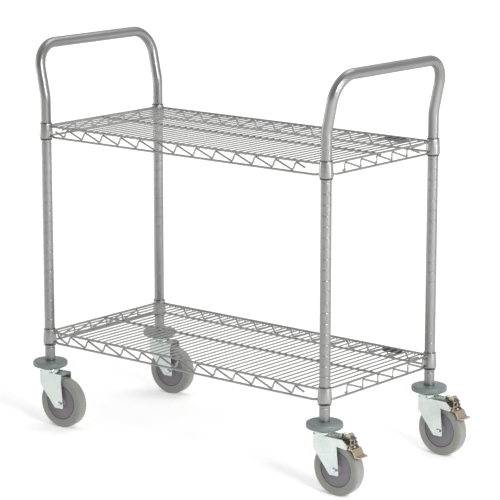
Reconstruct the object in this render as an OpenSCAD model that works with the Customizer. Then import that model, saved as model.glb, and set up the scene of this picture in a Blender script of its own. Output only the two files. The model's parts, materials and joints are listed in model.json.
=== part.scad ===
// Two-shelf wire cart: two bent tube end frames carry two welded wire shelves on four
// swivel casters, the right-hand pair of which have a toe brake.
// +X runs along the cart, +Y from its front to its back, +Z up.
// The origin lies on the floor, midway between the four posts.

/* [Frame tubes] */
// Distance between the post centres along the cart
post_span_x = 879; // [600:1:1200]
// Distance between the post centres from front to back
post_span_y = 415; // [340:1:600]
// Outside diameter of the posts and handles
tube_d = 25.4; // [25:0.1:25.8]
// Wall thickness of the tube
tube_wall = 1.6; // [1.2:0.1:2.5]
// Height at which the post starts to lean outwards into the handle
kink_z = 838; // [820:1:900]
// Lean of the handle from the vertical, in degrees
handle_lean = 12; // [5:1:20]
// Length of the leaning part, from the kink to the middle of the top bar
handle_rise = 132; // [115:1:200]
// Bend radius of the handle's top corners, at the tube's centre line
handle_bend_r = 62; // [50:1:90]
// Spacing of the grooves that the shelves lock into
groove_pitch = 25; // [20:1:25]

/* [Shelves] */
// Height of the underside of the lower shelf's sleeves
lower_shelf_z = 207.5; // [195:0.5:225]
// How many groove steps the upper shelf stands above the lower one
shelf_steps = 21; // [14:1:21]
// Diameter of the top and bottom rails
rail_d = 5.4; // [4:0.1:6]
// Diameter of the snake wire that joins the rails
snake_d = 4.4; // [3:0.1:5]
// Diameter of the deck wires
deck_wire_d = 3.4; // [2.5:0.1:4]
// Number of deck wires
deck_wires = 43; // [21:1:43]
// Length of one cell of the snake wire
snake_pitch = 60; // [50:1:70]

/* [Casters] */
// Wheel diameter
wheel_d = 127; // [124:0.5:127.5]
// Width of the wheel's tread
tread_w = 31; // [26:0.5:32]
// Distance of the axle behind the swivel axis
trail = 42; // [40:0.5:42.5]
// Swivel angles at rest: left front, left back, right front, right back
swivel_rest = [5, 5, 1, -1]; // [-180:1:180]
// Diameter of the round bumpers
bumper_d = 87; // [70:1:95]
// Angle that the brake pedal travels before its shoe meets the tread
pedal_travel = 8; // [6:0.5:8]

/* [Hidden] */

// numbers of the four casters
LF = 0;
LB = 1;
RF = 2;
RB = 3;

$fn = 48;
half_x = post_span_x / 2;
half_y = post_span_y / 2;
corners = [[-half_x, -half_y], [-half_x, half_y], [half_x, -half_y], [half_x, half_y]];
tube_r = tube_d / 2;
bore_r = tube_r - tube_wall;
running = 0.05;       // radial clearance of a running fit
thread_gap = 0.02;    // radial clearance between a screw and its nut

// post and handle
post_bottom_z = 167.5;
grooved_top_z = 800;
post_overlap = 2;
kink_bend_r = 80;
groove_depth = 0.9;
groove_w = 2.4;
groove_above_ring = 18;  // first groove above a shelf's underside
end_overrun = 5;

// shelf heights above the underside of the sleeves
upper_shelf_z = lower_shelf_z + shelf_steps * groove_pitch;
sleeve_h = 42.2;
ring_h = 3.2;
collar_top = 41;
bottom_rail_up = 7.4;
top_rail_up = 33.5;
bottom_rail_out = 3;     // the bottom rails stand this far outside the top ones
collar_bottom_r = 17;
collar_top_r = 15.2;
sleeve_bottom_r = 14.6;
sleeve_top_r = 13.6;
sleeve_band = 6;         // height of each tapered band that bears on the collar
sleeve_waist_r = 13.4;   // between the two bands
ring_r = 15.2;
collar_gap = 0.1;
lip_top = 6;
weld_gap = 0.02;
stub_in = 13;            // a rail's axis ends this far from the post's axis
rail_step_at = 32;       // where a bottom rail starts to step in
rail_step_in = 4;
rail_step_up = 2;
rail_r = rail_d / 2;
snake_r = snake_d / 2;
deck_r = deck_wire_d / 2;
deck_up = top_rail_up + rail_r - deck_r;
rib_up = deck_up - deck_r - rail_r;
snake_low = bottom_rail_up + rail_r + snake_r;
snake_high = top_rail_up - rail_r - snake_r;
snake_lean = 6;          // run of a snake wire's short leg
snake_bend_r = 4.5;
deck_pitch = (post_span_x - 43) / (deck_wires - 1);
plate_size = [60, 1.5, 9];
plate_x = half_x - 109;

// caster heights
wheel_r = wheel_d / 2;
fork_inner = 19;
fork_wall = 2.8;
fork_outer = fork_inner + fork_wall;
crown_r = 26.8;
crown_top_z = 139.5;
ball_r = 2.5;
ball_z = 144;
ball_ring_r = 18;
ball_count = 20;
race_clear = 0.1;
race_r = 26;
race_bottom_z = 144.6;
race_top_z = 150;
bumper_z = 152.5;
bumper_h = post_bottom_z - bumper_z;
bumper_edge_r = 5;
stem_r = 5.5;
stem_top_z = 222;
kingpin_r = 5;
axle_r = 4.75;
spacer_r = 6.35;
bushing_r = 9;
hub_r = 41.3;
hub_face = 13;           // half the width across the hub's faces
tread_edge_r = 5.5;

// brake, in the caster's own plane: distance behind the swivel axis, then height
pivot = [76, 124];
bracket_half = 8;
cheek_wall = 2.5;
screw_z = 143;
screw_r = 2.9;
screw_gap = 0.1;
tab_u = 53.5;            // front face of the tab that holds the screw
pin_r = 2.5;
shoe_gap = 0.5;          // left between shoe and tread when the pedal is down

// Where a straight length runs into a bend it is this much thinner and laps this far
seam_step = 0.05;
seam_lap = 0.25;
rod_turn = 37;        // keeps a rod's seam away from that of the bend it meets

// ---------- bent round bar ----------

function unit(v) = v / norm(v);
function turn_at(p, i) = acos(unit(p[i] - p[i - 1]) * unit(p[i + 1] - p[i]));
function setback(p, radii, i) =
    i == 0 || i == len(p) - 1 ? 0 : radii[i - 1] * tan(turn_at(p, i) / 2);

module axes_at(x_dir, y_dir, z_dir, at) {
    multmatrix([
        [x_dir[0], y_dir[0], z_dir[0], at[0]],
        [x_dir[1], y_dir[1], z_dir[1], at[1]],
        [x_dir[2], y_dir[2], z_dir[2], at[2]],
        [0, 0, 0, 1]
    ]) children();
}

// straight round bar from one point to another
module rod(from, to, r) {
    d = unit(to - from);
    side = abs(d[2]) < 0.9 ? unit(cross([0, 0, 1], d)) : unit(cross([1, 0, 0], d));
    axes_at(side, cross(d, side), d, from)
        rotate([0, 0, rod_turn]) cylinder(r = r, h = norm(to - from));
}

// round bar along a line of points, with a bend of radii[i - 1] at point i
module bent_rod(p, radii, r) {
    last = len(p) - 2;
    for (i = [0 : last]) {
        d = unit(p[i + 1] - p[i]);
        from = setback(p, radii, i) - (i == 0 ? 0 : seam_lap);
        to = setback(p, radii, i + 1) - (i == last ? 0 : seam_lap);
        rod(p[i] + d * from, p[i + 1] - d * to, r - seam_step);
    }
    for (i = [1 : last]) {
        d = unit(p[i] - p[i - 1]);
        axis = unit(cross(d, p[i + 1] - p[i]));
        inward = cross(axis, d);
        middle = p[i] - d * setback(p, radii, i) + inward * radii[i - 1];
        axes_at(-inward, d, axis, middle)
            rotate_extrude(angle = turn_at(p, i))
                translate([radii[i - 1], 0]) circle(r);
    }
}

function repeated(value, count) = [for (i = [1 : count]) value];

// ---------- end frames ----------

// one post, turned with its locking grooves
module grooved_post() {
    first = lower_shelf_z + groove_above_ring - groove_pitch;
    count = floor((grooved_top_z - 10 - first) / groove_pitch);
    rotate_extrude()
        difference() {
            translate([bore_r, post_bottom_z])
                square([tube_wall, grooved_top_z - post_bottom_z]);
            for (i = [0 : count])
                translate([tube_r - groove_depth, first + i * groove_pitch - groove_w / 2])
                    square([groove_depth + 1, groove_w]);
        }
}

function handle_line(drop) = let (
    out = handle_rise * sin(handle_lean),
    top = kink_z + handle_rise * cos(handle_lean),
    base = grooved_top_z - drop
) [
    [0, -half_y, base], [0, -half_y, kink_z], [out, -half_y, top],
    [out, half_y, top], [0, half_y, kink_z], [0, half_y, base]
];

handle_radii = [kink_bend_r, handle_bend_r, handle_bend_r, kink_bend_r];

// two posts and the handle over them, one bent tube; side is 1 right, -1 left
module handle_frame(side) {
    color([0.70, 0.71, 0.72])
        mirror([side < 0 ? 1 : 0, 0, 0])
            translate([half_x, 0, 0]) {
                for (y = [-half_y, half_y])
                    translate([0, y, 0]) grooved_post();
                difference() {
                    bent_rod(handle_line(post_overlap), handle_radii, tube_r);
                    bent_rod(handle_line(end_overrun), handle_radii, bore_r);
                }
            }
}

// ---------- wire shelves ----------

// the tapered outside of a collar, above its lip
module collar_cone(gap) {
    cylinder(r1 = collar_bottom_r + gap, r2 = collar_top_r + gap, h = collar_top - lip_top);
}

// rails run into the collars and are cut to their outside
module cut_to_collars() {
    difference() {
        children();
        for (at = corners)
            translate([at[0], at[1], lip_top]) collar_cone(weld_gap);
    }
}

module top_rails(z) {
    color([0.76, 0.77, 0.77])
        translate([0, 0, z])
            cut_to_collars() {
                for (side = [-1, 1]) {
                    rod([-half_x + stub_in, side * half_y, top_rail_up],
                        [half_x - stub_in, side * half_y, top_rail_up], rail_r);
                    rod([side * half_x, -half_y + stub_in, top_rail_up],
                        [side * half_x, half_y - stub_in, top_rail_up], rail_r);
                }
            }
}

// line of a bottom rail that steps inwards and up close to each collar
function stepped_line(half) = [
    [-half + stub_in, rail_step_in, bottom_rail_up + rail_step_up],
    [-half + rail_step_at, -bottom_rail_out, bottom_rail_up],
    [half - rail_step_at, -bottom_rail_out, bottom_rail_up],
    [half - stub_in, rail_step_in, bottom_rail_up + rail_step_up]
];

module bottom_rails(z) {
    color([0.76, 0.77, 0.77])
        translate([0, 0, z])
            cut_to_collars()
                for (turn = [0, 180])
                    rotate([0, 0, turn]) {
                        translate([0, -half_y, 0])
                            bent_rod(stepped_line(half_x), [12, 12], rail_r);
                        rotate([0, 0, 90])
                            translate([0, -half_x, 0])
                                bent_rod(stepped_line(half_y), [12, 12], rail_r);
                    }
}

// Snake wire: a stub, then cells of a short leg up and a long leg down, the last of
// them cut off part of the way. It leans inwards from the bottom rail to the top one.
module snake(span, lead, stub, tail) {
    long_leg = snake_pitch - snake_lean;
    cells = 1 + floor((span - collar_bottom_r - snake_r - lead - snake_lean
                       - tail * long_leg) / snake_pitch);
    start = -span / 2 + lead;
    end = start + (cells - 1) * snake_pitch + snake_lean + tail * long_leg;
    line = concat(
        [snake_point(start - stub[0], stub[1])],
        [for (i = [0 : cells - 1], up = [0, 1])
            snake_point(start + i * snake_pitch + up * snake_lean, up)],
        [snake_point(end, 1 - tail)]
    );
    bent_rod(line, repeated(snake_bend_r, len(line) - 2), snake_r);
}

// A bend's crown stops short of the corner of its legs by this much
function crown(h) = let (
    steep = atan2(h, snake_lean),
    shallow = atan2(h, snake_pitch - snake_lean)
) snake_bend_r * (cos((steep - shallow) / 2) / cos((steep + shallow) / 2) - 1);

function settled_crown(h, guess, rounds) =
    rounds == 0 ? guess : settled_crown(h, crown(h + 2 * guess), rounds - 1);

function snake_point(along, up) = let (
    low = [-bottom_rail_out, snake_low],
    high = [0, snake_high],
    past = settled_crown(snake_high - snake_low, 0, 6) * unit(high - low)
) concat([along], low - past + up * (high - low + 2 * past));

module snake_wires(z, side_lead, side_tail) {
    color([0.76, 0.77, 0.77])
        translate([0, 0, z])
            for (turn = [0, 180])
                rotate([0, 0, turn]) {
                    translate([0, -half_y, 0])
                        snake(post_span_x, 65.5, [32, 0.6], 0.54);
                    rotate([0, 0, 90])
                        translate([0, -half_x, 0])
                            snake(post_span_y, side_lead, [8, 0.15], side_tail);
                }
}

// straight deck wires run from front to back, and end on the inner sides of the top rails
module deck_wire_set(z) {
    reach = half_y - rail_r;
    color([0.78, 0.79, 0.79])
        for (i = [0 : deck_wires - 1])
            translate([(i - (deck_wires - 1) / 2) * deck_pitch, 0, z + deck_up])
                rod([0, -reach, 0], [0, reach, 0], deck_r);
}

// the long wire under the middle of the deck
module centre_rib(z) {
    end = half_x - rail_r;
    color([0.76, 0.77, 0.77])
        translate([0, 0, z]) rod([-end, 0, rib_up], [end, 0, rib_up], rail_r);
}

// tapered collars that the rails are welded to
module corner_collars(z) {
    color([0.78, 0.79, 0.80])
        for (at = corners)
            translate([at[0], at[1], z])
                rotate_extrude()
                    polygon([
                        [sleeve_bottom_r + collar_gap, ring_h], [collar_bottom_r - 1.6, ring_h],
                        [collar_bottom_r, lip_top], [collar_top_r, collar_top],
                        [sleeve_top_r + collar_gap, collar_top]
                    ]);
}

// plastic sleeves in two halves, with a rib that sits in a groove of the post
module split_sleeves(z) {
    rib_w = groove_w - 0.4;
    rib_deep = groove_depth - 0.1;
    split = 1.2;
    band_fall = (sleeve_bottom_r - sleeve_top_r) * sleeve_band / (sleeve_h - ring_h);
    color([0.08, 0.08, 0.09])
        for (at = corners)
            translate([at[0], at[1], z])
                difference() {
                    rotate_extrude()
                        polygon([
                            [tube_r + running, 0], [ring_r, 0], [ring_r, ring_h],
                            [sleeve_bottom_r, ring_h + 0.1],
                            [sleeve_bottom_r - band_fall, ring_h + sleeve_band],
                            [sleeve_waist_r, ring_h + sleeve_band],
                            [sleeve_waist_r, sleeve_h - sleeve_band],
                            [sleeve_top_r + band_fall, sleeve_h - sleeve_band],
                            [sleeve_top_r, sleeve_h],
                            [tube_r + running, sleeve_h],
                            [tube_r + running, groove_above_ring + rib_w / 2],
                            [tube_r - rib_deep, groove_above_ring + rib_w / 2],
                            [tube_r - rib_deep, groove_above_ring - rib_w / 2],
                            [tube_r + running, groove_above_ring - rib_w / 2]
                        ]);
                    translate([-split / 2, -sleeve_bottom_r - 1, -1])
                        cube([split, 2 * sleeve_bottom_r + 2, sleeve_h + 2]);
                }
}

// a blank plate hung inside the back rails of each shelf
module shelf_label_plates() {
    color([0.10, 0.10, 0.11])
        for (z = [lower_shelf_z, upper_shelf_z])
            translate([plate_x - plate_size[0] / 2, half_y - snake_r - 2 * plate_size[1],
                       z + deck_up - deck_r - 0.6 - plate_size[2]])
                cube(plate_size);
}

// ---------- what the frame holds of each caster ----------

module at_corners() {
    for (at = corners)
        translate([at[0], at[1], 0]) children();
}

// kingpin, flange and stem turned in one piece
module caster_stems() {
    head_r = 8;
    head_low = 131;
    head_high = 135.5;
    flange_r = 20;
    color([0.72, 0.73, 0.75])
        at_corners()
            rotate_extrude()
                polygon([
                    [0, head_low], [head_r - 1, head_low], [head_r, head_low + 1],
                    [head_r, head_high], [kingpin_r, head_high], [kingpin_r, race_top_z],
                    [flange_r, race_top_z], [flange_r, bumper_z], [stem_r, bumper_z],
                    [stem_r, stem_top_z - 1], [stem_r - 1, stem_top_z], [0, stem_top_z]
                ]);
}

// slotted plastic sleeves that grip the inside of the posts
module stem_expanders() {
    low = post_bottom_z + 3;
    high = stem_top_z - 4;
    slot = 1.5;
    color([0.15, 0.15, 0.16])
        at_corners()
            difference() {
                translate([0, 0, low]) cylinder(r = bore_r - 0.1, h = high - low);
                translate([0, 0, low - 1]) cylinder(r = stem_r + 0.1, h = high - low + 2);
                translate([0, -slot / 2, low - 1]) cube([tube_r, slot, high - low + 2]);
            }
}

// solid round bumpers with rounded rims
module bumpers() {
    r = bumper_d / 2;
    color([0.46, 0.50, 0.50])
        at_corners()
            translate([0, 0, bumper_z])
                difference() {
                    rotate_extrude() {
                        square([r - bumper_edge_r, bumper_h]);
                        translate([0, bumper_edge_r]) square([r, bumper_h - 2 * bumper_edge_r]);
                        for (z = [bumper_edge_r, bumper_h - bumper_edge_r])
                            translate([r - bumper_edge_r, z]) circle(bumper_edge_r);
                    }
                    translate([0, 0, -1]) cylinder(r = stem_r + 0.05, h = bumper_h + 2);
                }
}

// upper half of the ball race, a cap with a grooved underside
module swivel_top_races() {
    color([0.80, 0.82, 0.84])
        at_corners()
            difference() {
                rotate_extrude()
                    polygon([
                        [kingpin_r + 0.05, race_bottom_z], [race_r, race_bottom_z],
                        [race_r, race_top_z - 2.2], [race_r - 3.5, race_top_z],
                        [kingpin_r + 0.05, race_top_z]
                    ]);
                translate([0, 0, ball_z])
                    rotate_extrude() translate([ball_ring_r, 0]) circle(ball_r + race_clear);
            }
}

// ---------- casters ----------

module at_caster(n) {
    translate([corners[n][0], corners[n][1], 0])
        rotate([0, 0, swivel_rest[n]]) children();
}

module at_axle(n) {
    at_caster(n)
        translate([trail, 0, wheel_r])
            rotate([90, 0, 0]) children();
}

// extrudes an outline drawn as distance behind the swivel axis and height
module across(half) {
    rotate([90, 0, 0]) translate([0, 0, -half]) linear_extrude(2 * half) children();
}

// side outline of the fork; the braked fork has ears behind its legs for the pedal's pin
module fork_side(braked) {
    toe_z = 51;
    rear_top = 50;
    rear_low = 57;
    back = crown_r + 1;
    ear_r = 6;
    ear_slope = 38;
    ear_high = 66;
    foot_r = 5;
    difference() {
        polygon([
            [-back, crown_top_z], [-back, 121], [30.5, toe_z], [rear_low, toe_z],
            [rear_top + 0.7, 118], [rear_top, crown_top_z]
        ]);
        translate([rear_low - foot_r, toe_z])
            difference() {
                translate([0, -1]) square([foot_r + 2, foot_r + 1]);
                translate([-0.4, foot_r]) circle(foot_r);
            }
    }
    if (braked)
        difference() {
            union() {
                translate(pivot) circle(ear_r);
                polygon([
                    [rear_top - 1, crown_top_z], [rear_top - 1, 121], pivot - [0, ear_r],
                    pivot + ear_r * [sin(ear_slope), cos(ear_slope)], [ear_high, crown_top_z]
                ]);
            }
            translate(pivot) circle(pin_r);
        }
}

// narrow arm behind the crown, turned up at its end to hold the brake screw
module brake_arm() {
    arm_half = 10;
    across(arm_half) {
        translate([0, crown_top_z - 3]) square([tab_u + 3, 3]);
        translate([tab_u, crown_top_z - 3]) square([3, 13]);
    }
}

// seen from above: a channel with a rounded, split front
module fork_plan(r, half, end) {
    intersection() {
        union() {
            circle(r);
            translate([0, -half]) square([end, 2 * half]);
        }
        translate([-r - 1, -half]) square([end + r + 1, 2 * half]);
    }
}

module fork(n, braked) {
    lower_race_r = 24;
    front_gap = 8;
    hole_r = 3.3;
    plan_end = 80;
    color([0.82, 0.84, 0.86])
        at_caster(n)
            difference() {
                union() {
                    intersection() {
                        linear_extrude(crown_top_z)
                            difference() {
                                fork_plan(crown_r, fork_outer, plan_end);
                                fork_plan(crown_r - fork_wall, fork_inner, plan_end + 1);
                                translate([-crown_r - 1, -front_gap])
                                    square([crown_r, 2 * front_gap]);
                            }
                        across(crown_r) fork_side(braked);
                    }
                    translate([0, 0, crown_top_z - 3])
                        linear_extrude(3) fork_plan(crown_r, fork_outer, 1);
                    translate([0, 0, crown_top_z - 1])
                        cylinder(r = lower_race_r, h = ball_z - crown_top_z + 1.2);
                    if (braked) brake_arm();
                }
                cylinder(r = kingpin_r + running, h = 200);
                translate([0, 0, ball_z])
                    rotate_extrude() translate([ball_ring_r, 0]) circle(ball_r + race_clear);
                translate([trail, 0, wheel_r])
                    rotate([90, 0, 0]) cylinder(r = axle_r + running, h = 60, center = true);
                translate([trail + 9.2, 0, wheel_r + 2])
                    rotate([90, 0, 0]) cylinder(r = hole_r, h = 60, center = true);
                translate([tab_u - 5, 0, screw_z])
                    rotate([0, 90, 0]) cylinder(r = screw_r + screw_gap, h = 20);
            }
}

module swivel_balls(n) {
    color([0.85, 0.86, 0.88])
        at_caster(n)
            for (i = [0 : ball_count - 1])
                rotate([0, 0, i * 360 / ball_count])
                    translate([ball_ring_r, 0, ball_z]) sphere(ball_r);
}

// axle bolt with a domed head in front, and its nut behind
module axle_bolt(n) {
    head_r = 5.6;
    head_h = 3.4;
    nut_across = 14;
    nut_h = 6;
    over = 2;
    end = fork_outer + nut_h + over;
    color([0.80, 0.81, 0.83])
        at_axle(n) {
            rotate_extrude()
                polygon([
                    [0, -end], [axle_r - 1, -end], [axle_r, -end + 1],
                    [axle_r, fork_outer], [head_r, fork_outer],
                    [head_r, fork_outer + head_h - 1.2], [head_r - 1.6, fork_outer + head_h],
                    [0, fork_outer + head_h]
                ]);
            translate([0, 0, -fork_outer - nut_h])
                difference() {
                    cylinder(r = nut_across / 2 / cos(30), h = nut_h, $fn = 6);
                    translate([0, 0, -1]) cylinder(r = axle_r + thread_gap, h = nut_h + 2);
                }
        }
}

// tube on the axle that the fork's legs are clamped against
module axle_sleeve(n) {
    color([0.70, 0.71, 0.73])
        at_axle(n)
            difference() {
                cylinder(r = spacer_r, h = 2 * fork_inner, center = true);
                cylinder(r = axle_r + running, h = 2 * fork_inner + 2, center = true);
            }
}

// solid tyre moulded round the hub, with rounded shoulders
module tread(n) {
    half = tread_w / 2;
    color([0.56, 0.56, 0.52])
        at_axle(n)
            rotate_extrude()
                difference() {
                    translate([hub_r, 0]) {
                        width = wheel_r - hub_r;
                        translate([0, -half]) square([width - tread_edge_r, 2 * half]);
                        translate([0, -half + tread_edge_r])
                            square([width, 2 * (half - tread_edge_r)]);
                        for (y = [-half + tread_edge_r, half - tread_edge_r])
                            translate([width - tread_edge_r, y]) circle(tread_edge_r);
                    }
                    for (side = [-1, 1])
                        translate([hub_r - 1, side > 0 ? hub_face : -half - 1])
                            square([4, half - hub_face + 1]);
                }
}

module hub(n) {
    dish = 1.5;
    boss_r = 13;
    boss = fork_inner - 1;
    color([0.50, 0.48, 0.51])
        at_axle(n)
            rotate_extrude()
                polygon([
                    [bushing_r, -boss], [boss_r, -boss], [boss_r + 1, -hub_face + dish],
                    [hub_r - 4, -hub_face + dish], [hub_r - 3, -hub_face], [hub_r, -hub_face],
                    [hub_r, hub_face], [hub_r - 3, hub_face], [hub_r - 4, hub_face - dish],
                    [boss_r + 1, hub_face - dish], [boss_r, boss], [bushing_r, boss]
                ]);
}

module wheel_bushing(n) {
    length = 2 * (fork_inner - 0.5);
    color([0.88, 0.87, 0.83])
        at_axle(n)
            difference() {
                cylinder(r = bushing_r, h = length, center = true);
                cylinder(r = spacer_r + running, h = length + 2, center = true);
            }
}

// ---------- toe brake of the right-hand casters ----------

// channel between the fork's ears, with a rounded head over it
module brake_bracket(n) {
    head_r = 7.3;
    head_at = [72.5, 145];
    foot_z = pivot[1] - 5;
    color([0.72, 0.60, 0.30])
        at_caster(n)
            difference() {
                across(bracket_half) {
                    translate(head_at) circle(head_r);
                    polygon([
                        [head_at[0] - head_r, head_at[1]], [head_at[0] - head_r, 133],
                        [pivot[0] - 6, foot_z + 3], [pivot[0] - 1, foot_z],
                        [pivot[0] + 4, foot_z], [head_at[0] + head_r, 134],
                        [head_at[0] + head_r, head_at[1]]
                    ]);
                }
                across(bracket_half - cheek_wall)
                    polygon([[55, 100], [95, 100], [95, 136], [55, 136]]);
                translate([0, 0, screw_z])
                    rotate([0, 90, 0]) cylinder(r = screw_r + screw_gap, h = 200);
                translate([pivot[0], 0, pivot[1]])
                    rotate([90, 0, 0]) cylinder(r = pin_r, h = 60, center = true);
            }
}

// screw along the caster that holds and sets the bracket, with a nut at each end
module brake_screw(n) {
    from = 50;
    length = 40;
    nut_r = 5.6;
    nut_h = 4.8;
    bracket_ends = [65.2, 79.8];
    color([0.35, 0.37, 0.40])
        at_caster(n)
            translate([0, 0, screw_z])
                rotate([0, 90, 0]) {
                    translate([0, 0, from]) cylinder(r = screw_r, h = length);
                    for (z = [bracket_ends[0] - nut_h, bracket_ends[1]])
                        translate([0, 0, z])
                            difference() {
                                cylinder(r = nut_r, h = nut_h, $fn = 6);
                                translate([0, 0, -1])
                                    cylinder(r = screw_r + thread_gap, h = nut_h + 2);
                            }
                }
}

module pedal_pin(n) {
    half = fork_outer + 1.6;
    color([0.80, 0.81, 0.83])
        at_caster(n)
            translate([pivot[0], 0, pivot[1]])
                rotate([90, 0, 0]) {
                    cylinder(r = pin_r, h = 2 * half, center = true);
                    for (z = [-half, half - 1.5])
                        translate([0, 0, z]) cylinder(r = pin_r + 1.6, h = 1.5);
                }
}

// pedal line: over the tread, down a step and out to the toe
pedal_points = [[84, 118.5], [91, 118.5], [99.5, 103.5], [113.5, 102.5]];
pedal_t = 2.4;
pedal_half = 17.8;
toe_r = 9;

function left_of(v) = [-v[1], v[0]];
function mitre(p, i) = let (
    before = i == 0 ? p[1] - p[0] : p[i] - p[i - 1],
    after = i == len(p) - 1 ? before : p[i + 1] - p[i],
    bisector = unit(left_of(unit(before)) + left_of(unit(after)))
) bisector / (bisector * left_of(unit(before)));

module pedal_outline() {
    last = len(pedal_points) - 1;
    polygon(concat(
        [for (i = [0 : last]) pedal_points[i] + mitre(pedal_points, i) * pedal_t / 2],
        [for (i = [last : -1 : 0]) pedal_points[i] - mitre(pedal_points, i) * pedal_t / 2]
    ));
}

module pedal_plan() {
    toe = pedal_points[len(pedal_points) - 1][0] + 1;
    translate([60, -pedal_half]) square([toe - toe_r - 60, 2 * pedal_half]);
    translate([60, -pedal_half + toe_r]) square([toe - 60, 2 * (pedal_half - toe_r)]);
    for (y = [-pedal_half + toe_r, pedal_half - toe_r])
        translate([toe - toe_r, y]) circle(toe_r);
}

// plate that starts behind the fork's ears, with two ears of its own on the pin
module brake_pedal(n) {
    ear_in = 13.6;
    ear_w = 2.4;
    ear_r = 5;
    color([0.76, 0.62, 0.34])
        at_caster(n)
            difference() {
                union() {
                    intersection() {
                        across(pedal_half + 1) pedal_outline();
                        translate([0, 0, 90]) linear_extrude(60) pedal_plan();
                    }
                    for (y = [-ear_in - ear_w / 2, ear_in + ear_w / 2])
                        translate([0, y, 0])
                            across(ear_w / 2) {
                                translate(pivot) circle(ear_r);
                                polygon([
                                    pivot - [0, ear_r], [pivot[0] + 8, 117.3],
                                    [pivot[0] + 13, 117.3], [pivot[0] + 13, 119.7],
                                    pivot + ear_r * [sin(35), cos(35)]
                                ]);
                            }
                }
                translate([pivot[0], 0, pivot[1]])
                    rotate([90, 0, 0]) cylinder(r = pin_r + running, h = 60, center = true);
            }
}

// shoe under the pedal's step, cut to lie round the tread when the pedal is down
module brake_shoe(n) {
    half = 12;
    color([0.30, 0.30, 0.31])
        at_caster(n)
            across(half)
                difference() {
                    polygon([
                        [pivot[0] + 8.5, 117.3], [90.2, 117.3], [97.6, 104.2], [92, 104.2],
                        [pivot[0] + 8.5, 112]
                    ]);
                    translate(pivot)
                        rotate(pedal_travel)
                            translate([trail, wheel_r] - pivot)
                                circle(wheel_r + shoe_gap, $fn = 180);
                }
}

handle_frame(-1);  // left_handle_frame
handle_frame(1);  // right_handle_frame
top_rails(upper_shelf_z);  // upper_top_rails
bottom_rails(upper_shelf_z);  // upper_bottom_rails
snake_wires(upper_shelf_z, 65, 0.83);  // upper_snake_wires
deck_wire_set(upper_shelf_z);  // upper_deck_wires
centre_rib(upper_shelf_z);  // upper_centre_rib
corner_collars(upper_shelf_z);  // upper_corner_collars
split_sleeves(upper_shelf_z);  // upper_split_sleeves
top_rails(lower_shelf_z);  // lower_top_rails
bottom_rails(lower_shelf_z);  // lower_bottom_rails
snake_wires(lower_shelf_z, 80.5, 0.15);  // lower_snake_wires
deck_wire_set(lower_shelf_z);  // lower_deck_wires
centre_rib(lower_shelf_z);  // lower_centre_rib
corner_collars(lower_shelf_z);  // lower_corner_collars
split_sleeves(lower_shelf_z);  // lower_split_sleeves
shelf_label_plates();
caster_stems();
stem_expanders();
bumpers();
swivel_top_races();
fork(LF, false);  // fork_left_front
fork(LB, false);  // fork_left_back
fork(RF, true);  // fork_right_front
fork(RB, true);  // fork_right_back
swivel_balls(LF);  // swivel_balls_left_front
swivel_balls(LB);  // swivel_balls_left_back
swivel_balls(RF);  // swivel_balls_right_front
swivel_balls(RB);  // swivel_balls_right_back
axle_bolt(LF);  // axle_bolt_left_front
axle_bolt(LB);  // axle_bolt_left_back
axle_bolt(RF);  // axle_bolt_right_front
axle_bolt(RB);  // axle_bolt_right_back
axle_sleeve(LF);  // axle_sleeve_left_front
axle_sleeve(LB);  // axle_sleeve_left_back
axle_sleeve(RF);  // axle_sleeve_right_front
axle_sleeve(RB);  // axle_sleeve_right_back
tread(LF);  // tread_left_front
tread(LB);  // tread_left_back
tread(RF);  // tread_right_front
tread(RB);  // tread_right_back
hub(LF);  // hub_left_front
hub(LB);  // hub_left_back
hub(RF);  // hub_right_front
hub(RB);  // hub_right_back
wheel_bushing(LF);  // wheel_bushing_left_front
wheel_bushing(LB);  // wheel_bushing_left_back
wheel_bushing(RF);  // wheel_bushing_right_front
wheel_bushing(RB);  // wheel_bushing_right_back
brake_bracket(RF);  // brake_bracket_front
brake_bracket(RB);  // brake_bracket_back
brake_screw(RF);  // brake_screw_front
brake_screw(RB);  // brake_screw_back
pedal_pin(RF);  // pedal_pin_front
pedal_pin(RB);  // pedal_pin_back
brake_pedal(RF);  // brake_pedal_front
brake_pedal(RB);  // brake_pedal_back
brake_shoe(RF);  // brake_shoe_front
brake_shoe(RB);  // brake_shoe_back
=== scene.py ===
"""Looks of the wire shelf cart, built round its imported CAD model.

Lengths in this file are millimetres unless a name says otherwise; meshes are written in metres.
"""

import json
import math

import bmesh
import bpy
from mathutils import Matrix, Quaternion, Vector


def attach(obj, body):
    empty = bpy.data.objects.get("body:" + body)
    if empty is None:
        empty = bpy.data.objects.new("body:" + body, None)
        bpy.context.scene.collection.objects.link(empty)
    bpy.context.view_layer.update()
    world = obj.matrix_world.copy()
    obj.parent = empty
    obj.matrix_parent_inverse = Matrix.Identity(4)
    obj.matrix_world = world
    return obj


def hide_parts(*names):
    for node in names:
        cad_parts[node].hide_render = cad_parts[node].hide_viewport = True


MM = 0.001
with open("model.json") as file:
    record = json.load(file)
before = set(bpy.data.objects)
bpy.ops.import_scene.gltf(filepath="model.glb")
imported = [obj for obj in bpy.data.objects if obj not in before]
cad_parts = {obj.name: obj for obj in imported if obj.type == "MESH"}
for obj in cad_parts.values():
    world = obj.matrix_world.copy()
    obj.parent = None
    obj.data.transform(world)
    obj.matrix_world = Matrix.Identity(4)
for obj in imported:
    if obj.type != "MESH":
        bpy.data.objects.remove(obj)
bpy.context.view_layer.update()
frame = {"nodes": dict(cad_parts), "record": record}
nodes = frame["nodes"]
record = frame["record"]
body_of = {n: b for b, members in record["behaviour"]["bodies"].items() for n in members}
slot_of = {s["node"]: s["material_slot"] for s in record["subparts"]}

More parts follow.
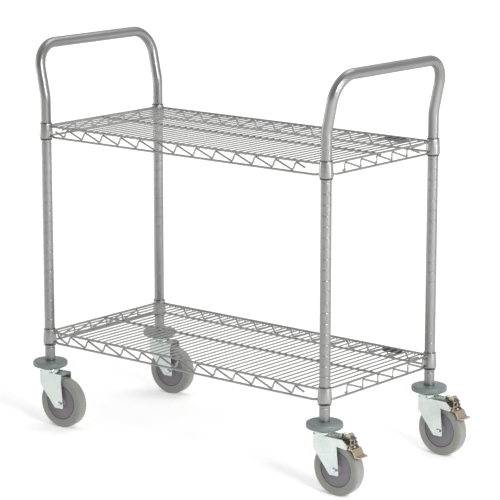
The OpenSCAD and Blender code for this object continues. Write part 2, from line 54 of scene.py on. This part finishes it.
# ---------------------------------------------------------------- sizes, as in the CAD
HALF_X, HALF_Y = 439.5, 207.5
TUBE_R, BORE_R = 12.7, 11.1
POST_BOTTOM, GROOVES_END = 167.5, 790.0
KINK_Z, LEAN, RISE = 838.0, math.radians(12), 132.0
KINK_BEND, CORNER_BEND = 80.0, 62.0
FIRST_GROOVE, GROOVE_PITCH = 200.5, 25.0
SHELVES = {"upper": 732.5, "lower": 207.5}
RAIL_R, SNAKE_R, DECK_R = 2.7, 2.2, 1.7
BOTTOM_RAIL, TOP_RAIL, RAIL_OUT = 7.4, 33.5, 3.0
DECK_WIRES, DECK_EDGE = 43, 21.5     # wires in a deck, and the outer ones' distance from the side rails
DECK_TAIL = 5.7                      # drop of a deck wire's turned-down end, left straight in the CAD
LABEL_X, LABEL_HALF = HALF_X - 109, 32  # over the label plates the back ends stay straight
WHEEL_R, TRAIL = 63.5, 42.0
CASTERS = {
    "left_front": (-HALF_X, -HALF_Y, 5),
    "left_back": (-HALF_X, HALF_Y, 5),
    "right_front": (HALF_X, -HALF_Y, 1),
    "right_back": (HALF_X, HALF_Y, -1),
}
CORNERS = [(x, y) for x, y, _ in CASTERS.values()]


# ---------------------------------------------------------------- node materials
class Nodes:
    """A material's node tree, with short calls for what the materials here use."""

    def __init__(self, name):
        self.material = bpy.data.materials.new(name)
        self.material.use_nodes = True
        self.tree = self.material.node_tree
        self.shader = self.tree.nodes["Principled BSDF"]
        self.position = self.add("ShaderNodeTexCoord").outputs["Object"]

    def add(self, kind, **values):
        node = self.tree.nodes.new(kind)
        for key, value in values.items():
            if hasattr(node, key):
                setattr(node, key, value)
            else:
                node.inputs[key.replace("_", " ").title()].default_value = value
        return node

    def link(self, a, b):
        self.tree.links.new(a, b)

    def noise(self, scale, detail=3.0, stretch=None, roughness=0.55):
        source = self.position
        if stretch:
            mapping = self.add("ShaderNodeMapping")
            mapping.inputs["Scale"].default_value = stretch
            self.link(source, mapping.inputs["Vector"])
            source = mapping.outputs["Vector"]
        node = self.add("ShaderNodeTexNoise", scale=scale, detail=detail, roughness=roughness)
        self.link(source, node.inputs["Vector"])
        return node.outputs["Fac"]

    def ramp(self, value, stops):
        node = self.add("ShaderNodeValToRGB")
        ramp = node.color_ramp
        while len(ramp.elements) < len(stops):
            ramp.elements.new(0.5)
        for element, (place, colour) in zip(ramp.elements, stops):
            element.position = place
            element.color = (*colour, 1)
        self.link(value, node.inputs["Fac"])
        return node.outputs["Color"]

    def span(self, value, low, high, start=0.3, end=0.7):
        node = self.add("ShaderNodeMapRange")
        for key, number in (("From Min", start), ("From Max", end), ("To Min", low), ("To Max", high)):
            node.inputs[key].default_value = number
        self.link(value, node.inputs["Value"])
        return node.outputs["Result"]

    def mix(self, factor, a, b, blend="MIX"):
        node = self.add("ShaderNodeMix", data_type="RGBA", blend_type=blend)
        for value, socket in ((factor, node.inputs[0]), (a, node.inputs[6]), (b, node.inputs[7])):
            if isinstance(value, (int, float)):
                socket.default_value = value
            elif isinstance(value, tuple):
                socket.default_value = (*value, 1)
            else:
                self.link(value, socket)
        return node.outputs[2]

    def bump(self, *layers):
        """layers are (height value, depth in mm, strength)."""
        normal = None
        for height, depth, strength in layers:
            node = self.add("ShaderNodeBump")
            node.inputs["Strength"].default_value = strength
            node.inputs["Distance"].default_value = depth * MM
            self.link(height, node.inputs["Height"])
            if normal:
                self.link(normal, node.inputs["Normal"])
            normal = node.outputs["Normal"]
        self.link(normal, self.shader.inputs["Normal"])

    def set(self, **values):
        for key, value in values.items():
            socket = self.shader.inputs[key.replace("_", " ")]
            if isinstance(value, (int, float)):
                socket.default_value = value
            elif isinstance(value, tuple):
                socket.default_value = (*value, 1)
            else:
                self.link(value, socket)
        return self


def plated_steel(name, light, dark, rough, streak, grain=1.0):
    """Satin plating: mottled at two scales, with fine drawn marks in the direction of streak."""
    m = Nodes(name)
    mottle = m.noise(9, 5)
    marks = m.noise(900, 2, streak)
    tone = m.ramp(mottle, [(0.32, dark), (0.68, light)])
    shade = m.ramp(marks, [(0.25, (0.94, 0.94, 0.94)), (0.6, (1, 1, 1))])
    m.set(Metallic=1.0, Base_Color=m.mix(1.0, tone, shade, "MULTIPLY"))
    m.set(Roughness=m.span(m.noise(40, 4), rough - 0.03, rough + 0.04))
    m.bump((marks, 0.003 * grain, 0.20), (m.noise(160, 3), 0.006 * grain, 0.20))
    return m.material


def zinc(name, tints, rough, blotch=38):
    """Passivated zinc: a clouded tint that drifts between colours, and a crystalline grain."""
    m = Nodes(name)
    cloud = m.noise(blotch, 4, roughness=0.6)
    places = [0.30 + 0.40 * i / (len(tints) - 1) for i in range(len(tints))]
    tone = m.ramp(cloud, list(zip(places, tints)))
    crystals = m.add("ShaderNodeTexVoronoi", scale=520.0)
    m.link(m.position, crystals.inputs["Vector"])
    facet = crystals.outputs["Distance"]
    shade = m.ramp(facet, [(0.0, (0.93, 0.93, 0.93)), (0.7, (1, 1, 1))])
    m.set(Metallic=1.0, Base_Color=m.mix(1.0, tone, shade, "MULTIPLY"))
    m.set(Roughness=m.span(m.noise(120, 4), rough - 0.05, rough + 0.06))
    m.bump((facet, 0.008, 0.12), (m.noise(200, 3), 0.012, 0.20))
    return m.material


def moulded(name, light, dark, rough, grain=300, depth=0.05, coat=0.0):
    """Moulded plastic or rubber: cloudy colour, pebbled grain and uneven gloss."""
    m = Nodes(name)
    tone = m.ramp(m.noise(22, 5), [(0.30, dark), (0.70, light)])
    specks = m.ramp(m.noise(grain * 1.7, 2), [(0.30, (0.90, 0.90, 0.90)), (0.55, (1, 1, 1))])
    m.set(Base_Color=m.mix(1.0, tone, specks, "MULTIPLY"))
    m.set(Roughness=m.span(m.noise(60, 4), rough - 0.08, rough + 0.08))
    m.set(Coat_Weight=coat, Coat_Roughness=0.25)
    m.bump((m.noise(grain, 4), depth, 0.4), (m.noise(grain / 8, 3), depth * 3, 0.25))
    return m.material


MATERIALS = {
    "tube_metal": plated_steel("tube_metal", (0.30, 0.30, 0.298), (0.268, 0.268, 0.266), 0.33, (1, 1, 0.04)),
    "wire_metal": plated_steel("wire_metal", (0.36, 0.36, 0.352), (0.30, 0.30, 0.294), 0.36, (0.3, 0.3, 0.3)),
    "collar_metal": plated_steel(
        "collar_metal", (0.355, 0.355, 0.348), (0.305, 0.305, 0.298), 0.33, (1, 1, 0.1)),
    "black_plastic": moulded("black_plastic", (0.018, 0.018, 0.020), (0.010, 0.010, 0.011), 0.45),
    "label_black": moulded("label_black", (0.022, 0.022, 0.024), (0.013, 0.013, 0.014), 0.35),
    "bumper_grey": moulded("bumper_grey", (0.165, 0.200, 0.198), (0.135, 0.165, 0.165), 0.42, 240, 0.04, 0.2),
    "tread_grey": moulded("tread_grey", (0.245, 0.245, 0.225), (0.212, 0.212, 0.194), 0.34, 180, 0.03, 0.35),
    "hub_grey": moulded("hub_grey", (0.205, 0.190, 0.208), (0.175, 0.163, 0.180), 0.5, 420, 0.06),
    "bushing_white": moulded("bushing_white", (0.66, 0.65, 0.61), (0.55, 0.54, 0.50), 0.45),
    "shoe_steel": plated_steel("shoe_steel", (0.30, 0.30, 0.30), (0.20, 0.20, 0.20), 0.45, (1, 1, 1)),
    "screw_steel": plated_steel("screw_steel", (0.26, 0.27, 0.29), (0.16, 0.165, 0.18), 0.38, (1, 1, 1)),
    "ball_steel": plated_steel("ball_steel", (0.80, 0.80, 0.81), (0.70, 0.70, 0.71), 0.15, (1, 1, 1), 0.3),
    "bolt_zinc": zinc("bolt_zinc", [(0.58, 0.61, 0.62), (0.70, 0.72, 0.71), (0.64, 0.66, 0.70)], 0.30, 90),
    "fork_zinc": zinc("fork_zinc", [(0.50, 0.58, 0.57), (0.66, 0.70, 0.67), (0.56, 0.63, 0.65)], 0.22, 12),
    "gold_zinc": zinc(
        "gold_zinc",
        [(0.40, 0.34, 0.20), (0.56, 0.49, 0.34), (0.52, 0.43, 0.36), (0.42, 0.42, 0.26)], 0.26, 60),
}
# painted shade: a near-black material standing for the shadow inside the narrow seam groove between hub and
# tread
painted_seam_shade = moulded("painted_seam_shade", (0.020, 0.020, 0.028), (0.012, 0.012, 0.018), 0.6)


# ---------------------------------------------------------------- meshes
class Shape:
    """Vertices and faces being gathered, in millimetres."""

    def __init__(self):
        self.points, self.faces, self.paint = [], [], []

    def rings(self, rings, closed=False, paint=None, capped=True):
        """Joins rings of equal length into a skin; closed joins the last to the first."""
        base, count = len(self.points), len(rings[0])
        for ring in rings:
            self.points.extend(ring)
        pairs = len(rings) if closed else len(rings) - 1
        for i in range(pairs):
            a, b = base + i * count, base + (i + 1) % len(rings) * count
            for k in range(count):
                j = (k + 1) % count
                self.faces.append((a + k, a + j, b + j, b + k))
                self.paint.append(paint[i] if paint else 0)
        if capped and not closed:
            end = base + (len(rings) - 1) * count
            self.faces += [tuple(range(base + count - 1, base - 1, -1)), tuple(range(end, end + count))]
            self.paint += [0, 0]

    def make(self, name, materials, body, replaced, slot):
        mesh = bpy.data.meshes.new(name)
        mesh.from_pydata([Vector(p) * MM for p in self.points], [], self.faces)
        for m in materials:
            mesh.materials.append(m)
        mesh.polygons.foreach_set("material_index", self.paint)
        mesh.polygons.foreach_set("use_smooth", [True] * len(self.faces))
        tidy = bmesh.new()
        tidy.from_mesh(mesh)
        bmesh.ops.recalc_face_normals(tidy, faces=tidy.faces)
        tidy.to_mesh(mesh)
        tidy.free()
        piece = bpy.data.objects.new(name, mesh)
        bpy.context.scene.collection.objects.link(piece)
        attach(piece, body)
        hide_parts(*replaced)
        return piece


def bent_line(corners, bends, step=math.radians(11)):
    """Points along straight lengths joined by round bends, one bend for each inner corner."""
    corners = [Vector(c) for c in corners]
    line = [corners[0]]
    for i in range(1, len(corners) - 1):
        before = (corners[i] - corners[i - 1]).normalized()
        after = (corners[i + 1] - corners[i]).normalized()
        turn = before.angle(after)
        axis = before.cross(after).normalized()
        inward = axis.cross(before)
        middle = corners[i] - before * bends[i - 1] * math.tan(turn / 2) + inward * bends[i - 1]
        steps = max(2, math.ceil(turn / step))
        for k in range(steps + 1):
            line.append(middle + Quaternion(axis, turn * k / steps) @ (-inward * bends[i - 1]))
    line.append(corners[-1])
    return line


def swept_rings(stations, sides):
    """Rings of points round the stations, which are (centre, radius), without twist."""
    centres = [Vector(c) for c, _ in stations]
    rings, across, last = [], None, None
    for i, (_, radius) in enumerate(stations):
        before = centres[max(i - 1, 0)]
        after = centres[min(i + 1, len(centres) - 1)]
        along = (after - before).normalized()
        if across is None:
            across = along.orthogonal().normalized()
        else:
            across = last.rotation_difference(along) @ across
            across = (across - along * across.dot(along)).normalized()
        last = along
        other = along.cross(across)
        rings.append([
            centres[i] + (across * math.cos(a) + other * math.sin(a)) * radius
            for a in (2 * math.pi * k / sides for k in range(sides))
        ])
    return rings


def wire(shape, corners, bends, radius, sides=10, step=math.radians(11), flare=0.0):
    """Adds a round wire with softened ends; flare widens the ends into welds."""
    line = bent_line(corners, bends, step)
    start, end = (line[1] - line[0]).normalized(), (line[-2] - line[-1]).normalized()
    if flare:
        swell = ((0.0, 1.0), (0.9, 0.55), (2.2, 0.12), (3.6, 0.0))
        head = [(along, radius + flare * part) for along, part in swell]
    else:
        head = [(0.0, radius * 0.62), (radius * 0.12, radius * 0.86), (radius * 0.38, radius)]
    stations = [(line[0] + start * d, r) for d, r in head]
    stations += [(p, radius) for p in line[1:-1]]
    stations += [(line[-1] + end * d, r) for d, r in reversed(head)]
    shape.rings(swept_rings(stations, sides))


def rounded(profile, bends, steps=4):
    """A flat outline with round corners; bends has one radius per corner, 0 for a sharp one."""
    out, count = [], len(profile)
    for i, (x, y) in enumerate(profile):
        here = Vector((x, y))
        if bends[i] == 0:
            out.append(here)
            continue
        before = (here - Vector(profile[i - 1])).normalized()
        after = (Vector(profile[(i + 1) % count]) - here).normalized()
        turn = math.acos(max(-1, min(1, before.dot(after))))
        if turn < 1e-3:
            out.append(here)
            continue
        back = bends[i] * math.tan(turn / 2)
        first, last = here - before * back, here + after * back
        side = Vector((-before.y, before.x))
        if side.dot(after) < 0:
            side.negate()
        middle = first + side * bends[i]
        for k in range(steps + 1):
            point = first.lerp(last, k / steps) - middle
            out.append(middle + point.normalized() * bends[i])
    return out


def lathe(shape, profile, place, sides=96, paint=None):
    """Turns an outline of (radius, height) about the local Z axis of the matrix place."""
    rings = []
    for radius, height in profile:
        radius = max(radius, 1e-3)
        rings.append([
            place @ Vector((radius * math.cos(a), radius * math.sin(a), height))
            for a in (2 * math.pi * k / sides for k in range(sides))
        ])
    shape.rings(rings, True, paint)


def upright(x, y, z=0.0):
    return Matrix.Translation((x, y, z))


def caster_place(name):
    x, y, angle = CASTERS[name]
    return Matrix.Translation((x, y, 0)) @ Matrix.Rotation(math.radians(angle), 4, "Z")


def axle_place(name):
    """Local Z lies along the axle, towards the front of the cart."""
    return caster_place(name) @ Matrix.Translation((TRAIL, 0, WHEEL_R)) @ Matrix.Rotation(math.pi / 2, 4, "X")


def soften(node, width):
    """A copy of a CAD node with rounded edges, standing for it."""
    mesh = nodes[node].data.copy()
    mesh.name = node + "_soft"
    mesh.materials.clear()
    mesh.materials.append(MATERIALS[slot_of[node]])
    work = bmesh.new()
    work.from_mesh(mesh)
    bmesh.ops.remove_doubles(work, verts=work.verts, dist=2e-6)
    bmesh.ops.dissolve_limit(work, angle_limit=math.radians(1.5), verts=work.verts, edges=work.edges)
    for face in work.faces:
        face.smooth = True
        face.material_index = 0
    work.to_mesh(mesh)
    work.free()
    if "custom_normal" in mesh.attributes:
        mesh.attributes.remove(mesh.attributes["custom_normal"])
    piece = bpy.data.objects.new(node + "_soft", mesh)
    bpy.context.scene.collection.objects.link(piece)
    bevel = piece.modifiers.new("bevel", "BEVEL")
    bevel.width = width * MM
    bevel.segments = 2
    bevel.limit_method = "ANGLE"
    bevel.angle_limit = math.radians(32)
    bevel.use_clamp_overlap = True
    bevel.harden_normals = True
    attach(piece, body_of[node])
    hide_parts(node)
    return piece


def finish(shape, name, *replaced, materials=None):
    """Writes a gathered shape as the piece that stands for these CAD nodes of one body."""
    slot = slot_of[replaced[0]]
    return shape.make(name, materials or [MATERIALS[slot]], body_of[replaced[0]], replaced, slot)


# ---------------------------------------------------------------- end frames
GROOVE = [(-3.2, 0.0), (-1.5, 0.0), (-1.2, 0.04), (-0.95, 0.16), (-0.7, 0.34), (-0.4, 0.44), (-0.2, 0.46),
          (0.2, 0.46), (0.4, 0.44), (0.7, 0.34), (0.95, 0.16), (1.2, 0.04), (1.5, 0.0), (3.2, 0.0)]


def groove_heights():
    z = FIRST_GROOVE
    while z < GROOVES_END:
        yield z
        z += GROOVE_PITCH


def end_frame(side):
    out, top = RISE * math.sin(LEAN), KINK_Z + RISE * math.cos(LEAN)
    corners = [(side * (HALF_X + dx), y, z) for dx, y, z in (
        (0, -HALF_Y, POST_BOTTOM), (0, -HALF_Y, KINK_Z), (out, -HALF_Y, top),
        (out, HALF_Y, top), (0, HALF_Y, KINK_Z), (0, HALF_Y, POST_BOTTOM))]
    bends = [KINK_BEND, CORNER_BEND, CORNER_BEND, KINK_BEND]
    middle = bent_line(corners, bends, math.radians(5))[1:-1]
    front = [((side * HALF_X, -HALF_Y, z + dz), TUBE_R - deep)
             for z in groove_heights() for dz, deep in GROOVE]
    back = [((x, HALF_Y, z), r) for (x, y, z), r in reversed(front)]
    lip = [((side * HALF_X, -HALF_Y, POST_BOTTOM + up), TUBE_R - cut)
           for up, cut in ((0, 0.4), (0.15, 0.1), (0.4, 0), (1.5, 0))]
    far_lip = [((x, HALF_Y, z), r) for (x, y, z), r in reversed(lip)]
    outer = lip + front + [(p, TUBE_R) for p in middle] + back + far_lip
    inner = [(corners[0], BORE_R)] + [(p, BORE_R) for p in middle] + [(corners[-1], BORE_R)]
    shape = Shape()
    count = 40
    skin, bore = swept_rings(outer, count), swept_rings(inner, count)
    shape.rings(skin, capped=False)
    shape.rings(bore, capped=False)
    far = len(skin) - 1, len(skin) + len(bore) - 1
    for edge_out, edge_in in ((0, len(skin) * count), (far[0] * count, far[1] * count)):
        for k in range(count):
            j = (k + 1) % count
            shape.faces.append((edge_out + k, edge_out + j, edge_in + j, edge_in + k))
            shape.paint.append(0)
    return shape


for side, name in ((-1, "left_handle_frame"), (1, "right_handle_frame")):
    finish(end_frame(side), name + "_tube", name)

# ---------------------------------------------------------------- wire shelves
SNAKE_PITCH, SNAKE_LEAN, SNAKE_BEND = 60.0, 6.0, 4.5
SNAKE_LOW, SNAKE_HIGH = BOTTOM_RAIL + RAIL_R + SNAKE_R, TOP_RAIL - RAIL_R - SNAKE_R
FRONT_LEAD, FRONT_TAIL = 65.5, 0.54
SIDE_CUTS = {"upper": (65.0, 0.83), "lower": (80.5, 0.15)}
COLLAR_R = 17.0


def crown(height):
    steep, shallow = math.atan2(height, SNAKE_LEAN), math.atan2(height, SNAKE_PITCH - SNAKE_LEAN)
    return SNAKE_BEND * (math.cos((steep - shallow) / 2) / math.cos((steep + shallow) / 2) - 1)


def snake_corners(span, lead, stub, tail):
    low, high = Vector((-RAIL_OUT, SNAKE_LOW)), Vector((0, SNAKE_HIGH))
    past = 0.0
    for _ in range(6):
        past = crown(SNAKE_HIGH - SNAKE_LOW + 2 * past)
    reach = (high - low).normalized() * past
    low, rise = low - reach, high - low + 2 * reach
    long_leg = SNAKE_PITCH - SNAKE_LEAN
    cells = 1 + math.floor((span - COLLAR_R - SNAKE_R - lead - SNAKE_LEAN - tail * long_leg) / SNAKE_PITCH)
    start = -span / 2 + lead
    marks = [(start - stub[0], stub[1])]
    marks += [(start + i * SNAKE_PITCH + up * SNAKE_LEAN, up) for i in range(cells) for up in (0, 1)]
    marks.append((start + (cells - 1) * SNAKE_PITCH + SNAKE_LEAN + tail * long_leg, 1 - tail))
    return [Vector((along, *(low + rise * up))) for along, up in marks]


def side_places(z):
    """Places of a shelf's four sides: local X runs along the side, local Y inwards."""
    for turn in (0, 180):
        spin = Matrix.Rotation(math.radians(turn), 4, "Z")
        quarter = spin @ Matrix.Rotation(math.pi / 2, 4, "Z")
        yield spin @ Matrix.Translation((0, -HALF_Y, z)), 2 * HALF_X, True
        yield quarter @ Matrix.Translation((0, -HALF_X, z)), 2 * HALF_Y, False


for level, z in SHELVES.items():
    top, bottom, snakes = Shape(), Shape(), Shape()
    for place, span, is_front in side_places(z):
        half = span / 2
        ends = [place @ Vector((s * (half - 14.6), 0, TOP_RAIL)) for s in (-1, 1)]
        wire(top, ends, [], RAIL_R, 14, flare=1.1)
        steps = [(-half + 15, 4, 9.4), (-half + 32, -RAIL_OUT, BOTTOM_RAIL),
                 (half - 32, -RAIL_OUT, BOTTOM_RAIL), (half - 15, 4, 9.4)]
        wire(bottom, [place @ Vector(p) for p in steps], [12, 12], RAIL_R, 14, flare=1.1)
        lead, tail = (FRONT_LEAD, FRONT_TAIL) if is_front else SIDE_CUTS[level]
        stub = (32, 0.6) if is_front else (8, 0.15)
        run = [place @ p for p in snake_corners(span, lead, stub, tail)]
        wire(snakes, run, [SNAKE_BEND] * (len(run) - 2), SNAKE_R, 10)
    deck, rib = Shape(), Shape()
    deck_z, pitch = z + TOP_RAIL + RAIL_R - DECK_R, (2 * HALF_X - 2 * DECK_EDGE) / (DECK_WIRES - 1)
    turned, straight = HALF_Y - RAIL_R - DECK_R, HALF_Y - RAIL_R
    for i in range(DECK_WIRES):
        x = (i - (DECK_WIRES - 1) // 2) * pitch
        run = [(x, -turned, deck_z - DECK_TAIL), (x, -turned, deck_z)]
        if abs(x - LABEL_X) < LABEL_HALF:
            run += [(x, straight, deck_z)]
        else:
            run += [(x, turned, deck_z), (x, turned, deck_z - DECK_TAIL)]
        wire(deck, run, [4] * (len(run) - 2), DECK_R, 10, math.radians(15))
    end = HALF_X - RAIL_R
    rib_z = deck_z - DECK_R - RAIL_R
    wire(rib, [(-end, 0, rib_z), (end, 0, rib_z)], [], RAIL_R, 14, flare=0.8)
    finish(top, level + "_top_rail_wires", level + "_top_rails")
    finish(bottom, level + "_bottom_rail_wires", level + "_bottom_rails")
    finish(snakes, level + "_snake_bends", level + "_snake_wires")
    finish(deck, level + "_deck_mat", level + "_deck_wires")
    finish(rib, level + "_rib_wire", level + "_centre_rib")

    collars = Shape()
    profile = rounded(
        [(14.7, 3.2), (15.4, 3.2), (COLLAR_R, 6.0), (15.2, 41.0), (13.7, 41.0)], [0.3, 0.5, 1.2, 0.7, 0.3])
    for x, y in CORNERS:
        lathe(collars, profile, upright(x, y, z), 64)
    finish(collars, level + "_collars", level + "_corner_collars")

# ---------------------------------------------------------------- bumpers and races
bumpers = Shape()
outline = rounded(
    [(5.6, 152.5), (39, 152.5), (43.5, 153.4), (43.5, 166.2), (38, 167.5), (14, 167.5), (5.6, 167.5)],
    [0, 1.5, 4.6, 5.2, 2, 0, 0], steps=6)
for x, y in CORNERS:
    lathe(bumpers, outline, upright(x, y), 112)
finish(bumpers, "bumper_rings", "bumpers")

races = Shape()
outline = rounded([(19.8, 144.7), (26, 144.7), (26, 147.8), (22.5, 150), (5.2, 150), (5.2, 147)],
                  [0.2, 0.8, 1.8, 1.5, 0, 0], steps=5)
for x, y in CORNERS:
    lathe(races, outline, upright(x, y), 96)
finish(races, "swivel_race_caps", "swivel_top_races")

# ---------------------------------------------------------------- wheels
TREAD_HALF, FACE, HUB_R = 15.5, 13.0, 41.3
for name in CASTERS:
    place = axle_place(name)
    tread = Shape()
    outline = rounded(
        [(HUB_R, -FACE + 1.2), (HUB_R + 1.1, -FACE + 1.2), (HUB_R + 1.4, -FACE - 0.1),
         (47, -TREAD_HALF + 1.1), (57.5, -TREAD_HALF), (WHEEL_R - 0.4, -TREAD_HALF + 3.2), (WHEEL_R, 0),
         (WHEEL_R - 0.4, TREAD_HALF - 3.2), (57.5, TREAD_HALF), (47, TREAD_HALF - 1.1),
         (HUB_R + 1.4, FACE + 0.1), (HUB_R + 1.1, FACE - 1.2), (HUB_R, FACE - 1.2)],
        [0, 0.15, 0.4, 6, 5.0, 4.0, 30, 4.0, 5.0, 6, 0.4, 0.15, 0], steps=6)
    # the tread faces of the seam groove next to the hub get the painted seam shade, a near-black colour
    # standing for shadow in the groove
    dark = [1 if max(a.x, b.x) < HUB_R + 1.5 and abs(a.y + b.y) > 2 * (FACE - 1.3) else 0
            for a, b in zip(outline, outline[1:] + outline[:1])]
    lathe(tread, outline, place, 128, dark)
    finish(tread, "tyre_" + name, "tread_" + name, materials=[MATERIALS["tread_grey"], painted_seam_shade])

    hub = Shape()
    outline = rounded(
        [(9, -18), (13, -18), (14, -FACE + 1.5), (37, -FACE + 1.5), (38.2, -FACE), (HUB_R, -FACE),
         (HUB_R, FACE), (38.2, FACE), (37, FACE - 1.5), (14, FACE - 1.5), (13, 18), (9, 18)],
        [0.4, 1.0, 1.5, 1.0, 0.7, 0.5, 0.5, 0.7, 1.0, 1.5, 1.0, 0.4], steps=4)
    lathe(hub, outline, place, 128)
    finish(hub, "hub_disc_" + name, "hub_" + name)

# ---------------------------------------------------------------- what keeps its CAD shape
SOFT_EDGES = {"fork": 0.8, "axle_bolt": 0.35, "brake_bracket": 0.6, "brake_screw": 0.3, "pedal_pin": 0.3,
              "brake_pedal": 0.45, "brake_shoe": 0.4, "wheel_bushing": 0.4, "shelf_label": 0.3}
for node, piece in nodes.items():
    if piece.hide_render:
        continue
    width = next((w for start, w in SOFT_EDGES.items() if node.startswith(start)), None)
    if width:
        soften(node, width)
        continue
    for s in piece.material_slots:
        s.material = MATERIALS[slot_of[node]]

# ---------------------------------------------------------------- floor, light and camera
floor_mesh = bpy.data.meshes.new("floor")
EDGE = 40.0  # metres from the middle of the floor to each side
floor_corners = [(-EDGE, -EDGE, 0), (EDGE, -EDGE, 0), (EDGE, EDGE, 0), (-EDGE, EDGE, 0)]
floor_mesh.from_pydata(floor_corners, [], [(0, 1, 2, 3)])
floor = bpy.data.objects.new("floor", floor_mesh)
bpy.context.scene.collection.objects.link(floor)
f = Nodes("floor_paper")
paper = f.ramp(f.noise(1.5, 4), [(0.3, (0.89, 0.89, 0.89)), (0.7, (0.91, 0.91, 0.91))])
f.set(Base_Color=paper, Roughness=0.9)
away = f.add("ShaderNodeVectorMath", operation="LENGTH")
f.link(f.position, away.inputs[0])
f.set(Emission_Color=(1.0, 1.0, 1.0), Specular_IOR_Level=0.1)
f.set(Emission_Strength=f.span(away.outputs["Value"], 0.22, 0.60, 1.1, 4.5))
floor_mesh.materials.append(f.material)


def softbox(name, where, aim, size, watts, colour=(1, 1, 1)):
    light = bpy.data.lights.new(name, "AREA")
    light.shape = "RECTANGLE"
    light.size, light.size_y = size
    light.energy = watts
    light.color = colour
    lamp = bpy.data.objects.new(name, light)
    lamp.location = where
    lamp.rotation_mode = "QUATERNION"
    lamp.rotation_quaternion = (Vector(aim) - Vector(where)).to_track_quat("-Z", "Y")
    lamp.visible_camera = False
    bpy.context.scene.collection.objects.link(lamp)


softbox("key", (3.6, -1.4, 2.3), (0.1, 0, 0.2), (1.3, 1.3), 115)
softbox("right_strip", (4.2, 0.6, 1.0), (0, 0, 0.6), (0.8, 2.0), 32)
softbox("left_strip", (-4.0, -1.2, 0.9), (0, 0, 0.6), (0.7, 1.8), 22)
softbox("top", (0.2, 1.4, 3.8), (0, 0, 0.2), (2.4, 2.0), 30)

world = bpy.data.worlds.new("studio")
bpy.context.scene.world = world
world.use_nodes = True
sky = world.node_tree.nodes
background = sky["Background"]
background.inputs["Color"].default_value = (0.97, 0.97, 0.965, 1)
toward = sky.new("ShaderNodeTexCoord")
facing = sky.new("ShaderNodeVectorMath")
facing.operation = "DOT_PRODUCT"
facing.inputs[1].default_value = (0.62, -0.74, 0.26)
shade = sky.new("ShaderNodeMapRange")
for key, number in (("From Min", 0.1), ("From Max", 0.95), ("To Min", 0.78), ("To Max", 0.30)):
    shade.inputs[key].default_value = number
links = world.node_tree.links
links.new(toward.outputs["Generated"], facing.inputs[0])
links.new(facing.outputs["Value"], shade.inputs["Value"])
links.new(shade.outputs["Result"], background.inputs["Strength"])

camera_data = bpy.data.cameras.new("camera")
camera_data.sensor_width = 36.0
camera_data.lens = 2323.4 / 500 * 36
camera_data.clip_end = 200
camera = bpy.data.objects.new("camera", camera_data)
camera.location = (3.5855, -4.2792, 1.6572)
camera.rotation_mode = "XYZ"
camera.rotation_euler = (math.radians(90 - 11.94), 0, math.radians(39.6))
bpy.context.scene.collection.objects.link(camera)
bpy.context.scene.camera = camera
bpy.context.scene.view_settings.view_transform = "Standard"
